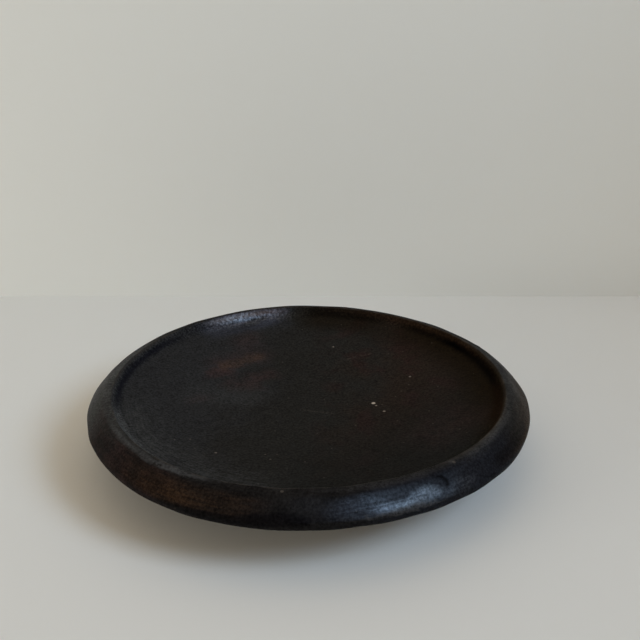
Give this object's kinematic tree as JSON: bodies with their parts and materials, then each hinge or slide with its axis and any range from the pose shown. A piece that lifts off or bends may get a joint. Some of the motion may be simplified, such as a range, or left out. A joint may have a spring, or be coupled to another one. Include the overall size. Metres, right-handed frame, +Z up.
{
  "type": "carved wooden bowl",
  "caption": "Shallow round bowl carved from one block of dark wood, with a thick bevelled rim, a gently hollowed floor and a low flat foot, for serving or display.",
  "frame": {"origin": "on the table, at the middle of the flat foot", "axes": "+Z up along the bowl's axis, out of its mouth; X and Y are level and the bowl is the same all round"},
  "size_m": [0.3, 0.3, 0.05],
  "materials": {
    "dark_wood": "dark brown-black stain with a dull wax polish, worn along the lip"
  },
  "bodies": {
    "root": {"bowl": "dark_wood"}
  },
  "joints": []
}
